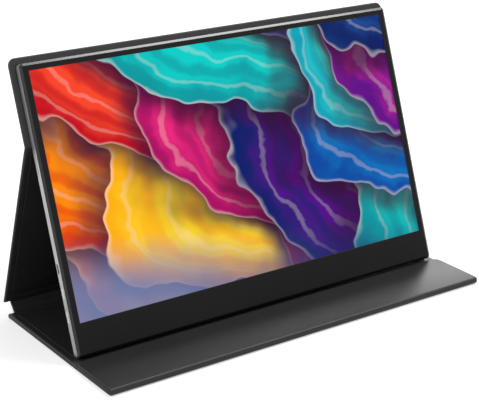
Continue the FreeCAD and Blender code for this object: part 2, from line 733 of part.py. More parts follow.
def make_cover():
    """Back panel with magnets, strut, spine, base, front edge and flap."""
    back = make_cover_panel("back", "panel_thick", "edge_gap", "back_high", free_end="back_high")
    make_magnets(back["board"])
    make_cover_panel("strut", "panel_thick", "edge_gap", "strut_long - fold_band_wide")
    make_cover_panel("base", "base_thick", "front_gap", "base_depth - edge_gap")
    make_cover_panel("flap", "flap_thick", "-flap_depth", "-front_gap", free_end="-flap_depth")

    band = Piece("back_fold_band", "strut")
    band.box(("-cover_side", "strut_long - fold_band_wide", "-fold_radius"),
             ("cover_side", "strut_long", "fold_radius"))
    band.cylinder(("-cover_side", "strut_long", "0"), "fold_radius", "2 * cover_side", ALONG_X)

    edge = Piece("front_fold_band", "edge")
    profile = edge.sketch("YZ_Plane", "-cover_side")
    slot_outline(profile, "0", "edge_high", "0", "edge_radius")
    edge.pad(profile, "2 * cover_side")

    spine = Piece("spine_wrap", "spine")
    profile = spine.sketch("YZ_Plane", "-spine_side")
    slot_outline(profile, "0", "spine_high", "0", "fold_radius")
    spine.pad(profile, "2 * spine_side")
    spine.cut_box(("-spine_side", "spine_board_margin - spine_board_clear",
                   "-spine_board_thick / 2 - spine_board_clear"),
                  ("spine_side", "spine_high - spine_board_margin + spine_board_clear",
                   "spine_board_thick / 2 + spine_board_clear"))
    stiffener = Piece("spine_board", "spine")
    stiffener.box(("-spine_side + spine_board_setback", "spine_board_margin", "-spine_board_thick / 2"),
                  ("spine_side - spine_board_setback", "spine_high - spine_board_margin",
                   "spine_board_thick / 2"))


def make_magnets(board):
    """Flat magnets in windows of the back board, in front of the screen's steel plates."""
    up = "plate_up - fold_height"
    first = "-magnet_pitch * (magnet_count - 1) / 2"
    low, high = "-panel_thick / 2 + skin_thick", "panel_thick / 2 - lining_thick"
    window = board.cut_box((f"{first} - magnet_long / 2 - magnet_clear",
                            f"{up} - plate_high / 2 - magnet_clear", low),
                           (f"{first} + magnet_long / 2 + magnet_clear",
                            f"{up} + plate_high / 2 + magnet_clear", high))
    row = ("X", "magnet_pitch * (magnet_count - 1)", "magnet_count")
    board.repeat([window], row)
    magnets = Piece("cover_magnets", "back")
    magnet = magnets.box((f"{first} - magnet_long / 2", f"{up} - plate_high / 2", low),
                         (f"{first} + magnet_long / 2", f"{up} + plate_high / 2", high))
    magnets.repeat([magnet], row)


def check_and_write():
    """Recompute, stop on any failed object or bad shape, then write one file for each piece."""
    doc.recompute()
    failed = [item.Label for item in doc.Objects if {"Invalid", "Error"} & set(item.State)]
    bad = [body.Label for body in pieces if body.Shape.isNull() or not body.Shape.isValid()]
    if failed or bad:
        raise RuntimeError(f"failed objects: {failed}, bad shapes: {bad}")
    os.makedirs("parts", exist_ok=True)
    for body in pieces:
        body.Shape.exportStep(f"parts/{body.Label}.step")
        print(f"{body.Label}: {len(body.Shape.Solids)} solids, {body.Shape.Volume:.1f} mm3")


fill_sheet()
make_rear_shell()
make_front_bezel()
make_display_panel()
make_boards()
make_usb_port("usb_c_port_upper", 2)
make_usb_port("usb_c_port_lower", 1)
make_hdmi_port()
make_speakers()
make_controls()
make_headphone_jack()
make_steel_plates()
make_cover()
check_and_write()
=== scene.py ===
"""Portable monitor that leans in its folding cover: edges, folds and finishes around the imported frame."""
import functools
import json
import logging
import math
from dataclasses import dataclass
from enum import Enum
from typing import Sequence

import bmesh
import bpy
from mathutils import Matrix, Vector


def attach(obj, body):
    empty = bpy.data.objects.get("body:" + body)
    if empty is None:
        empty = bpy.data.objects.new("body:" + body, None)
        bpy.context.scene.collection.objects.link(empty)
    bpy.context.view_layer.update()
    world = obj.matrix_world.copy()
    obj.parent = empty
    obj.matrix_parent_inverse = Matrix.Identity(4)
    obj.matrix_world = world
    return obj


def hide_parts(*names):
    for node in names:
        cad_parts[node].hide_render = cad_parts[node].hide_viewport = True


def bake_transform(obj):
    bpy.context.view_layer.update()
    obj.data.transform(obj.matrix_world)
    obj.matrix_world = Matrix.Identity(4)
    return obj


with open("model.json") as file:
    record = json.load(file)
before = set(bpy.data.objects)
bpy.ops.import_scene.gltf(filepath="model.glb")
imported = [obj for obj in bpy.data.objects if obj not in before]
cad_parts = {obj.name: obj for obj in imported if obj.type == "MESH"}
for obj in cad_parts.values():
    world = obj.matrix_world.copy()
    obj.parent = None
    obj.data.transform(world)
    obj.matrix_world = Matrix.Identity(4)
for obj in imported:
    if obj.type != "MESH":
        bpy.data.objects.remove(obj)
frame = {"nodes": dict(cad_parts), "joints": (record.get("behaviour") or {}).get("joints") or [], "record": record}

LOG = logging.getLogger("portable_monitor")
MM = 0.001
RIGHT = Vector((1.0, 0.0, 0.0))
POLISHED = "polished"
SHARP_ANGLE = math.radians(32.0)
SHARP_CORNER = 0.15 * MM
CORNER_STEPS = 6
EDGE_STEPS = 4
SAME_PLACE = 0.1 * MM
CLOUD_STEP = (0.3, 0.75)
NOISE_MIDDLE = 0.5
Colour = tuple[float, float, float, float]
Corner = tuple[float, float]


def grey(level: float) -> Colour:
    """A neutral colour of this linear level."""
    return (level, level, level, 1.0)


def tone(red: float, green: float, blue: float) -> Colour:
    """An opaque colour from its linear parts."""
    return (red, green, blue, 1.0)


def shade(colour: Colour, factor: float) -> Colour:
    """The colour made darker or lighter by a factor, up to white."""
    return tuple(min(part * factor, 1.0) for part in colour[:3]) + (1.0,)


class Wire:
    """A number socket in a graph, which Python operators extend with Math nodes."""

    def __init__(self, graph: "NodeMaker", socket: bpy.types.NodeSocket) -> None:
        """Wrap one output socket of a graph."""
        self.graph = graph
        self.socket = socket

    def __add__(self, other: "Wire | float") -> "Wire":
        """Sum of two values."""
        return self.graph.math("ADD", self, other)

    def __sub__(self, other: "Wire | float") -> "Wire":
        """This value less the other."""
        return self.graph.math("SUBTRACT", self, other)

    def __rsub__(self, other: float) -> "Wire":
        """The other value less this one."""
        return self.graph.math("SUBTRACT", other, self)

    def __mul__(self, other: "Wire | float") -> "Wire":
        """Product of two values."""
        return self.graph.math("MULTIPLY", self, other)

    __radd__ = __add__
    __rmul__ = __mul__

    def sine(self) -> "Wire":
        """Sine of this value, in radians."""
        return self.graph.math("SINE", self)

    def swing(self, amount: float) -> "Wire":
        """This noise about its middle, with its full range given."""
        return (self - NOISE_MIDDLE) * amount

    def between(self, low: float, high: float) -> "Wire":
        """Smooth step from 0 at low to 1 at high.

        Args:
            low: Value at which the step starts.
            high: Value at which the step ends.

        Returns:
            The stepped value.
        """
        step = self.graph.node("ShaderNodeMapRange", {"interpolation_type": "SMOOTHSTEP"},
                               {"Value": self, "From Min": low, "From Max": high})
        return Wire(self.graph, step.outputs["Result"])


class NodeMaker:
    """Makes the nodes of one node tree."""

    def __init__(self, tree: bpy.types.NodeTree) -> None:
        """Empty a tree and take it over."""
        self.tree = tree
        self.tree.nodes.clear()

    def node(self, kind: str, settings: dict | None = None, sockets: dict | None = None) -> bpy.types.Node:
        """Make any node.

        Args:
            kind: Type name of the node.
            settings: Properties of the node, set first.
            sockets: Values or links of its inputs, by name or index.

        Returns:
            The new node.
        """
        item = self.tree.nodes.new(kind)
        for key, setting in (settings or {}).items():
            setattr(item, key, setting)
        for key, given in (sockets or {}).items():
            source = given.socket if isinstance(given, Wire) else given
            if isinstance(source, bpy.types.NodeSocket):
                self.tree.links.new(source, item.inputs[key])
            else:
                item.inputs[key].default_value = source
        return item

    def math(self, operation: str, *values: "Wire | bpy.types.NodeSocket | float") -> Wire:
        """One Math node on one or two values."""
        item = self.node("ShaderNodeMath", {"operation": operation}, dict(enumerate(values)))
        return Wire(self, item.outputs["Value"])


class Graph(NodeMaker):
    """A material under construction."""

    def __init__(self, name: str) -> None:
        """Start an empty material.

        Args:
            name: Name of the finish.
        """
        self.material = bpy.data.materials.new(f"{name}_finish")
        self.material.use_nodes = True
        super().__init__(self.material.node_tree)

    def place(self) -> bpy.types.NodeSocket:
        """Coordinates on the object, in metres."""
        return self.node("ShaderNodeTexCoord").outputs["Object"]

    def along(self, direction: Sequence[float]) -> Wire:
        """How far a point lies along a direction from the origin.

        Args:
            direction: Direction of length 1.

        Returns:
            The distance, in metres.
        """
        item = self.node("ShaderNodeVectorMath", {"operation": "DOT_PRODUCT"},
                         {0: self.place(), 1: tuple(direction)})
        return Wire(self, item.outputs["Value"])

    def stretched(self, share: float) -> bpy.types.NodeSocket:
        """Coordinates on the object in which it is drawn out to the right."""
        item = self.node("ShaderNodeMapping", None, {"Vector": self.place(), "Scale": (share, 1.0, 1.0)})
        return item.outputs["Vector"]

    def noise(self, size: float, detail: float = 3.0, place: bpy.types.NodeSocket | None = None,
              roughness: float = 0.5) -> Wire:
        """Soft noise from 0 to 1.

        Args:
            size: Length of one blotch, in metres or in the units of place.
            detail: Number of finer layers.
            place: Coordinates to read, the object's own if left out.
            roughness: Strength of the finer layers.

        Returns:
            The noise value.
        """
        item = self.node("ShaderNodeTexNoise", None, {"Vector": place or self.place(), "Scale": 1.0 / size,
                                                      "Detail": detail, "Roughness": roughness})
        return Wire(self, item.outputs["Fac"])

    def cells(self, size: float, place: bpy.types.NodeSocket | None = None) -> Wire:
        """Distance to the edges of small irregular cells, as in a leather grain.

        Args:
            size: Length of one cell, in metres.
            place: Coordinates to read, the object's own if left out.

        Returns:
            The distance.
        """
        item = self.node("ShaderNodeTexVoronoi", {"feature": "DISTANCE_TO_EDGE"},
                         {"Vector": place or self.place(), "Scale": 1.0 / size})
        return Wire(self, item.outputs["Distance"])

    def mix(self, factor: "Wire | float", first: object, second: object,
            blend: str = "MIX") -> bpy.types.NodeSocket:
        """Mix of two colours.

        Args:
            factor: Share of the second colour.
            first: Colour or colour socket.
            second: Colour or colour socket.
            blend: Blend type.

        Returns:
            The mixed colour's socket.
        """
        item = self.node("ShaderNodeMix", {"data_type": "RGBA", "blend_type": blend},
                         {0: factor, 6: first, 7: second})
        return item.outputs[2]

    def bump(self, height: Wire, distance: float, strength: float) -> bpy.types.NodeSocket:
        """Normal of a surface with a relief.

        Args:
            height: Relief, from 0 to 1.
            distance: Full height of the relief, in metres.
            strength: Share of the relief that shows.

        Returns:
            The normal's socket.
        """
        item = self.node("ShaderNodeBump", None,
                         {"Height": height, "Distance": distance, "Strength": strength})
        return item.outputs["Normal"]

    def surface(self, **sockets: object) -> bpy.types.Material:
        """Close the graph with a Principled shader.

        Args:
            sockets: Inputs of the shader, with underscores for spaces.

        Returns:
            The finished material.
        """
        shader = self.node("ShaderNodeBsdfPrincipled", None,
                           {name.replace("_", " "): given for name, given in sockets.items()})
        self.node("ShaderNodeOutputMaterial", None, {"Surface": shader.outputs["BSDF"]})
        return self.material


@dataclass(frozen=True)
class BlastedMetal:
    """Bead-blasted sheet metal: fine sparkle, faint clouding and a little handling wear."""

    name: str
    colour: Colour
    rough: float
    grain: float = 0.22 * MM
    cloud: float = 35 * MM
    wear: float = 0.86
    relief: float = 0.012 * MM

    def build(self) -> bpy.types.Material:
        """Make the material.

        Returns:
            The finished material.
        """
        graph = Graph(self.name)
        grain = graph.noise(self.grain, detail=2.0)
        cloud = graph.noise(self.cloud, detail=4.0)
        return graph.surface(
            Base_Color=graph.mix(cloud.between(*CLOUD_STEP), self.colour, shade(self.colour, self.wear)),
            Metallic=1.0,
            Roughness=self.rough + cloud.swing(0.10) + grain.swing(0.06),
            Normal=graph.bump(grain, self.relief, 0.5),
        )


@dataclass(frozen=True)
class PlatedMetal:
    """Bright plated or rolled metal with fine draw lines."""

    name: str
    colour: Colour
    rough: float
    line: float = 0.35 * MM
    stain: float = 4 * MM
    wear: float = 0.8
    relief: float = 0.01 * MM

    def build(self) -> bpy.types.Material:
        """Make the material.

        Returns:
            The finished material.
        """
        graph = Graph(self.name)
        lines = graph.noise(self.line, detail=2.0, place=graph.stretched(0.08))
        stain = graph.noise(self.stain)
        return graph.surface(
            Base_Color=graph.mix(stain.between(0.45, 0.8), self.colour, shade(self.colour, self.wear)),
            Metallic=1.0,
            Roughness=self.rough + lines.swing(0.12),
            Normal=graph.bump(lines, self.relief, 0.4),
        )


@dataclass(frozen=True)
class MouldedPlastic:
    """Moulded plastic with a fine spark texture and faint cloudiness."""

    name: str
    colour: Colour
    rough: float
    texture: float = 0.25 * MM
    depth: float = 0.012 * MM
    gloss: float = 0.35
    cloud: float = 60 * MM
    wear: float = 0.82

    def build(self) -> bpy.types.Material:
        """Make the material.

        Returns:
            The finished material.
        """
        graph = Graph(self.name)
        spark = graph.noise(self.texture, roughness=0.7)
        cloud = graph.noise(self.cloud)
        return graph.surface(
            Base_Color=graph.mix(cloud.between(*CLOUD_STEP), self.colour, shade(self.colour, self.wear)),
            Roughness=self.rough + spark.swing(0.12) + cloud.swing(0.06),
            Specular_IOR_Level=self.gloss,
            Normal=graph.bump(spark, self.depth, 0.6),
        )


@dataclass(frozen=True)
class SatinFrame:
    """Satin black plastic whose marked faces are polished."""

    name: str
    colour: Colour
    rough: float
    polish: float
    gloss: float
    texture: float = 0.25 * MM
    depth: float = 0.012 * MM
    cloud: float = 60 * MM
    wear: float = 0.85
    polished_colour: Colour = grey(0.001)

    def build(self) -> bpy.types.Material:
        """Make the material.

        Returns:
            The finished material.
        """
        graph = Graph(self.name)
        spark = graph.noise(self.texture, roughness=0.7)
        cloud = graph.noise(self.cloud)
        mark = graph.node("ShaderNodeAttribute", {"attribute_name": POLISHED})
        marked = Wire(graph, mark.outputs["Fac"])
        satin = graph.mix(cloud.between(*CLOUD_STEP), self.colour, shade(self.colour, self.wear))
        return graph.surface(
            Base_Color=graph.mix(marked, satin, self.polished_colour),
            Roughness=self.rough + spark.swing(0.12) + cloud.swing(0.06),
            Specular_IOR_Level=self.gloss,
            Coat_Weight=marked,
            Coat_Roughness=self.polish,
            Normal=graph.bump(spark * (1.0 - marked), self.depth, 0.6),
        )


@dataclass(frozen=True)
class CoverLeather:
    """Coated cover cloth: small pebble grain, soft undulation and places worn by handling."""

    name: str
    colour: Colour
    rough: float
    pebble: float = 0.75 * MM
    gloss: float = 0.38
    wander: float = 1.6 * MM
    bend: float = 0.4 * MM
    pore: float = 0.18 * MM
    wave: float = 42 * MM
    depth: float = 0.035 * MM
    valley: float = 0.62
    wear: float = 1.22

    def build(self) -> bpy.types.Material:
        """Make the material.

        Returns:
            The finished material.
        """
        graph = Graph(self.name)
        wander = graph.node("ShaderNodeTexNoise", None, {"Vector": graph.place(), "Scale": 1.0 / self.wander})
        bent = graph.mix(self.bend, graph.place(), wander.outputs["Color"], "ADD")
        pebble = graph.cells(self.pebble, bent).between(0.0, 0.22)
        fine = graph.noise(self.pore, detail=2.0)
        wave = graph.noise(self.wave)
        relief = pebble * 0.75 + fine * 0.25
        clouded = graph.mix(wave.between(0.42, 0.8), self.colour, shade(self.colour, self.wear))
        return graph.surface(
            Base_Color=graph.mix(relief, shade(self.colour, self.valley), clouded),
            Roughness=self.rough + fine.swing(0.14) - pebble * 0.08 + wave.swing(0.10),
            Specular_IOR_Level=self.gloss,
            Normal=graph.bump(relief, self.depth, 0.55),
        )


@dataclass(frozen=True)
class PressedBoard:
    """Grey pressed board with short fibres."""

    name: str
    colour: Colour
    rough: float = 0.85
    fibre: float = 0.6 * MM
    depth: float = 0.05 * MM
    fleck: float = 0.6

    def build(self) -> bpy.types.Material:
        """Make the material.

        Returns:
            The finished material.
        """
        graph = Graph(self.name)
        fibre = graph.noise(self.fibre, 4.0, graph.stretched(0.25), 0.7)
        return graph.surface(
            Base_Color=graph.mix(fibre.between(0.35, 0.7), shade(self.colour, self.fleck), self.colour),
            Roughness=self.rough + fibre.swing(0.1),
            Normal=graph.bump(fibre, self.depth, 0.5),
        )


@dataclass(frozen=True)
class CircuitBoard:
    """Solder mask over copper traces that run square to each other."""

    name: str
    mask: Colour
    copper: Colour
    trace: float = 2.2 * MM
    rough: float = 0.32
    cloud: float = 1.5 * MM
    depth: float = 0.03 * MM

    def build(self) -> bpy.types.Material:
        """Make the material.

        Returns:
            The finished material.
        """
        graph = Graph(self.name)
        bricks = graph.node("ShaderNodeTexBrick", None, {
            "Vector": graph.place(), "Scale": 1.0, "Mortar Size": self.trace * 0.12,
            "Brick Width": self.trace * 4, "Row Height": self.trace})
        traces = Wire(graph, bricks.outputs["Fac"])
        cloud = graph.noise(self.cloud)
        return graph.surface(
            Base_Color=graph.mix(traces * 0.6, self.mask, self.copper),
            Roughness=self.rough + cloud.swing(0.15),
            Normal=graph.bump(traces, self.depth, 0.6),
        )


@dataclass(frozen=True)
class Ribbon:
    """One layer of the picture: where its edge runs, how it waves, and its two colours."""

    edge: float
    swing: float
    pace: float
    phase: float
    first: Colour
    second: Colour


RIBBONS = (
    Ribbon(0.04, 0.07, 3.1, 0.4, tone(0.95, 0.24, 0.00), tone(1.00, 0.55, 0.00)),
    Ribbon(0.14, 0.10, 4.3, 2.1, tone(0.80, 0.05, 0.00), tone(1.00, 0.26, 0.00)),
    Ribbon(0.24, 0.08, 5.2, 4.0, tone(1.00, 0.42, 0.00), tone(1.00, 0.66, 0.02)),
    Ribbon(0.34, 0.10, 3.7, 1.2, tone(0.55, 0.00, 0.01), tone(0.95, 0.06, 0.02)),
    Ribbon(0.43, 0.09, 4.8, 3.3, tone(0.40, 0.00, 0.12), tone(0.90, 0.02, 0.22)),
    Ribbon(0.51, 0.08, 3.4, 5.2, tone(0.00, 0.01, 0.14), tone(0.10, 0.00, 0.28)),
    Ribbon(0.58, 0.10, 4.1, 0.9, tone(0.00, 0.30, 0.34), tone(0.00, 0.62, 0.58)),
    Ribbon(0.68, 0.07, 5.6, 3.9, tone(0.00, 0.06, 0.34), tone(0.00, 0.22, 0.60)),
    Ribbon(0.77, 0.08, 5.0, 2.7, tone(0.00, 0.34, 0.46), tone(0.02, 0.66, 0.62)),
    Ribbon(0.86, 0.07, 3.6, 4.4, tone(0.10, 0.00, 0.24), tone(0.60, 0.02, 0.32)),
    Ribbon(0.95, 0.06, 4.4, 1.6, tone(0.00, 0.01, 0.12), tone(0.01, 0.08, 0.34)),
)


@dataclass(frozen=True)
class LitPicture:
    """Lit display film: layered ribbons of colour that flow across the picture area."""

    name: str
    corner: Corner
    up: tuple[float, float, float]
    wide: float
    high: float
    slant: float = 0.34
    lean: float = 0.4
    wander: float = 0.55
    streak: float = 0.16
    bend: float = 0.34
    shadow_wide: float = 0.09
    rim_wide: float = 0.014
    edge_soft: float = 0.004
    combing: float = 85.0
    dusk: float = 0.9

    def build(self) -> bpy.types.Material:
        """Make the material.

        Returns:
            The finished material.
        """
        graph = Graph(self.name)
        u = (graph.along(RIGHT) - self.corner[0]) * (1.0 / self.wide)
        v = (graph.along(self.up) - self.corner[1]) * (1.0 / self.high)
        flat = graph.node("ShaderNodeCombineXYZ", None, {"X": u * (self.wide / self.high), "Y": v})
        wander = graph.noise(self.wander, place=flat.outputs["Vector"])
        streak = graph.noise(self.streak, 4.0, flat.outputs["Vector"])
        across = u * (1.0 - self.slant) + v * self.slant
        picture = graph.mix(v.between(0.2, 1.0), tone(0.95, 0.34, 0.01), tone(1.0, 0.62, 0.03))
        for ribbon in RIBBONS:
            picture = self.lay(graph, ribbon, picture, across, v - u * self.lean, wander, streak)
        dusk = (v + u * 0.22 + wander.swing(0.3)).between(0.34, 0.06)
        evening = graph.mix(u.between(0.2, 0.75), tone(0.16, 0.20, 0.40), tone(0.01, 0.015, 0.14))
        return graph.surface(
            Base_Color=grey(0.001),
            Roughness=0.5 + streak.swing(0.04),
            Specular_IOR_Level=0.06,
            Emission_Color=graph.mix(dusk * self.dusk, picture, evening),
            Emission_Strength=1.0,
        )

    def lay(self, graph: Graph, ribbon: Ribbon, picture: bpy.types.NodeSocket, across: Wire, down: Wire,
            wander: Wire, streak: Wire) -> bpy.types.NodeSocket:
        """Lay one ribbon on the picture, with its shadow, its lit rim and its streaks.

        Args:
            graph: Material under construction.
            ribbon: Layer to lay.
            picture: Colour below it.
            across: Place across the ribbons.
            down: Place along the ribbons.
            wander: Slow noise that bends the edge.
            streak: Quicker noise for the streaks.

        Returns:
            The colour with the ribbon on it.
        """
        wave = (down * ribbon.pace + ribbon.phase).sine() * ribbon.swing
        reach = across - wave - wander.swing(self.bend) - ribbon.edge
        shaded = graph.mix(reach.between(-self.shadow_wide, 0.0) * 0.8, picture, tone(0.03, 0.0, 0.03))
        paint = graph.mix((reach * 4.0 + streak * 0.7 - 0.3).between(0.0, 0.6), ribbon.first, ribbon.second)
        lines = (reach * self.combing + streak * 5.0 + wander * 14.0).sine()
        combed = graph.mix(lines.between(0.1, -1.0) * 0.6, paint, ribbon.first)
        glossed = graph.mix(lines.between(0.8, 1.0) * 0.14, combed, tone(1.0, 0.90, 0.80))
        rimmed = graph.mix(reach.between(self.rim_wide, 0.0) * 0.35, glossed, tone(1.0, 0.94, 0.86))
        return graph.mix(reach.between(0.0, self.edge_soft), shaded, rimmed)


class Finish(Enum):
    """The finish of each of the record's material slots, apart from the lit picture."""

    SILVER_METAL = BlastedMetal("silver_metal", grey(0.66), 0.40)
    BLACK_FRAME = SatinFrame("black_frame", grey(0.0105), 0.48, 0.14, 0.12)
    FOAM = MouldedPlastic("foam", grey(0.012), 0.9, 0.4 * MM, 0.05 * MM, 0.1)
    CELL_GLASS = MouldedPlastic("cell_glass", tone(0.30, 0.32, 0.34), 0.08, 0.5 * MM, 0.002 * MM, 0.5)
    CLEAR_FILM = MouldedPlastic("clear_film", tone(0.75, 0.77, 0.78), 0.12, 0.5 * MM, 0.004 * MM, 0.5)
    WHITE_FILM = MouldedPlastic("white_film", tone(0.85, 0.85, 0.84), 0.3, 0.4 * MM, 0.006 * MM, 0.5)
    WHITE_PLASTIC = MouldedPlastic("white_plastic", tone(0.80, 0.80, 0.78), 0.4)
    PLAIN_STEEL = PlatedMetal("plain_steel", grey(0.50), 0.36)
    CIRCUIT_BOARD = CircuitBoard("circuit_board", tone(0.015, 0.10, 0.045), tone(0.10, 0.22, 0.08))
    RIBBON = MouldedPlastic("ribbon", tone(0.55, 0.32, 0.08), 0.35)
    SOCKET_METAL = PlatedMetal("socket_metal", grey(0.86), 0.16, 0.2 * MM)
    BLACK_PLASTIC = MouldedPlastic("black_plastic", grey(0.018), 0.5)
    MAGNET_PLATING = PlatedMetal("magnet_plating", tone(0.56, 0.55, 0.52), 0.25)
    COVER_LEATHER = CoverLeather("cover_leather", grey(0.024), 0.38)
    STIFF_BOARD = PressedBoard("stiff_board", tone(0.30, 0.27, 0.22))
    COVER_LINING = CoverLeather("cover_lining", grey(0.020), 0.38, 0.6 * MM)

    @property
    @functools.cache
    def material(self) -> bpy.types.Material:
        """The finish as a material, made on first use."""
        return self.value.build()


@dataclass(frozen=True)
class Axes:
    """A place on the object with a direction along a panel and one out of it; the third is to the right."""

    origin: Vector
    along: Vector
    out: Vector

    @classmethod
    def between(cls, start: Vector, end: Vector) -> "Axes":
        """Axes at start whose panel runs towards end."""
        along = (end - start).normalized()
        return cls(start, along, RIGHT.cross(along))

    def point(self, x: float, y: float, z: float) -> Vector:
        """A point of these axes, in the object's own frame."""
        return self.origin + RIGHT * x + self.along * y + self.out * z

    @property
    def lean(self) -> float:
        """Turn about the right-hand direction from level to these axes, in radians."""
        return math.atan2(self.along.z, self.along.y)

    def stack(self, low: Vector, high: Vector, radii: Sequence[float], profile: Sequence[Corner]) -> list:
        """Rings around a rounded rectangle.

        Args:
            low: Low corner of the rectangle.
            high: High corner of the rectangle.
            radii: Radius of each corner.
            profile: Inset and height of each ring.

        Returns:
            The points of each ring.
        """
        return [[self.point(x, y, height) for x, y in rounded_loop(low.xy, high.xy, radii, inset)]
                for inset, height in profile]

    def extent(self, node: str) -> tuple[Vector, Vector]:
        """Lowest and highest corner along these axes.

        Args:
            node: Name of a frame node.

        Returns:
            Both corners.
        """
        places = [vertex.co - self.origin for vertex in frame["nodes"][node].data.vertices]
        local = [(place.x, place.dot(self.along), place.dot(self.out)) for place in places]
        return Vector(map(min, *local)), Vector(map(max, *local))


class Layout:
    """Where the panels, the folds and the screen are, read from the frame."""

    def __init__(self) -> None:
        """Read the joints and work out each panel's axes."""
        joints = {joint["name"]: joint for joint in frame["joints"]}
        self.fold = {name: Vector(joint["pos_m"]) for name, joint in joints.items() if "fold" in name}
        front, flap = self.fold["front_fold"], self.fold["flap_fold"]
        rear, lower, upper = self.fold["base_fold"], self.fold["spine_fold"], self.fold["back_fold"]
        self.base = Axes(front, Vector((0.0, 1.0, 0.0)), Vector((0.0, 0.0, 1.0)))
        self.edge = Axes.between(front, flap)
        towards_front = (flap - self.rear_end("flap_board")).normalized()
        self.flap = Axes(flap, towards_front, RIGHT.cross(towards_front))
        self.spine = Axes.between(rear, lower)
        self.strut = Axes.between(lower, upper)
        out = Vector(joints["menu_wheel_turn"]["axis"])
        unplaced = Axes(Vector(), out.cross(RIGHT), out)
        low, _ = unplaced.extent("rear_shell")
        self.screen = Axes(unplaced.point(0.0, low.y, low.z), unplaced.along, out)
        self.back = Axes(upper, unplaced.along, out)

    @staticmethod
    def rear_end(node: str) -> Vector:
        """Middle of the end that lies furthest back.

        Args:
            node: Name of a frame node.

        Returns:
            The point.
        """
        places = [vertex.co for vertex in frame["nodes"][node].data.vertices]
        rear = max(place.y for place in places)
        last = [place for place in places if rear - place.y < SAME_PLACE]
        return sum(last, Vector()) / len(last)


def rounded_loop(low: Corner, high: Corner, radii: Sequence[float], inset: float = 0.0) -> list[Corner]:
    """Outline of a rectangle with round corners.

    Args:
        low: Low left corner.
        high: High right corner.
        radii: Radius of the low right, high right, high left and low left corner.
        inset: How far the outline is drawn in.

    Returns:
        Its points, counter-clockwise.
    """
    x0, y0, x1, y1 = low[0] + inset, low[1] + inset, high[0] - inset, high[1] - inset
    corners = ((x1, y0, 1, -1), (x1, y1, 1, 1), (x0, y1, -1, 1), (x0, y0, -1, -1))
    points = []
    for quarter, ((x, y, side, end), radius) in enumerate(zip(corners, radii)):
        rounding = max(radius - inset, SHARP_CORNER)
        centre = (x - side * rounding, y - end * rounding)
        for step in range(CORNER_STEPS + 1):
            angle = math.radians(90.0 * (quarter - 1 + step / CORNER_STEPS))
            points.append((centre[0] + rounding * math.cos(angle), centre[1] + rounding * math.sin(angle)))
    return points


def edge_round(centre: Corner, radius: float, start: float) -> list[Corner]:
    """Points on a quarter of a circle, clockwise.

    Args:
        centre: Centre of the circle.
        radius: Its radius.
        start: Angle of the first point, in degrees.

    Returns:
        The points.
    """
    angles = (math.radians(start - 90.0 * step / EDGE_STEPS) for step in range(EDGE_STEPS + 1))
    return [(centre[0] + radius * math.cos(angle), centre[1] + radius * math.sin(angle)) for angle in angles]


def loft(name: str, rings: Sequence[Sequence[Vector]], material: bpy.types.Material,
         closed: bool = False) -> bpy.types.Object:
    """Make a closed mesh through rings of points.

    Args:
        name: Name of the piece.
        rings: Rings with the same number of points each.
        material: Its finish.
        closed: True joins the last ring to the first; otherwise both ends are capped.

    Returns:
        The new object, at the origin.
    """
    shape = bmesh.new()
    rows = [[shape.verts.new(point) for point in ring] for ring in rings]
    count = len(rows[0])
    pairs = list(zip(rows, rows[1:])) + ([(rows[-1], rows[0])] if closed else [])
    for first, second in pairs:
        for index in range(count):
            after = (index + 1) % count
            shape.faces.new((first[index], first[after], second[after], second[index]))
    if not closed:
        shape.faces.new(list(reversed(rows[0])))
        shape.faces.new(rows[-1])
    bmesh.ops.recalc_face_normals(shape, faces=shape.faces)
    mesh = bpy.data.meshes.new(name)
    shape.to_mesh(mesh)
    shape.free()
    return placed(name, mesh, material)


def placed(name: str, mesh: bpy.types.Mesh, material: bpy.types.Material) -> bpy.types.Object:
    """Put a mesh into the scene, smooth apart from its sharp edges.

    Args:
        name: Name of the piece.
        mesh: Its mesh, already in place.
        material: Its finish.

    Returns:
        The new object.
    """
    mesh.materials.clear()
    mesh.materials.append(material)
    mesh.polygons.foreach_set("use_smooth", [True] * len(mesh.polygons))
    mesh.set_sharp_from_angle(angle=SHARP_ANGLE)
    piece = bpy.data.objects.new(name, mesh)
    bpy.context.scene.collection.objects.link(piece)
    return piece


def keep(piece: bpy.types.Object, body: str, slot: str, *nodes: str) -> None:
    """Fix a piece to its body, and hide and log the frame nodes that it stands for.

    Args:
        piece: Finished piece.
        body: Body that it moves with.
        slot: Material slot of the record; not used.
        nodes: Frame nodes that it replaces.
    """
    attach(piece, body)
    if nodes:
        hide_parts(*nodes)
    LOG.info("%s rides on %s and stands for %s", piece.name, body, ", ".join(nodes) or "itself")


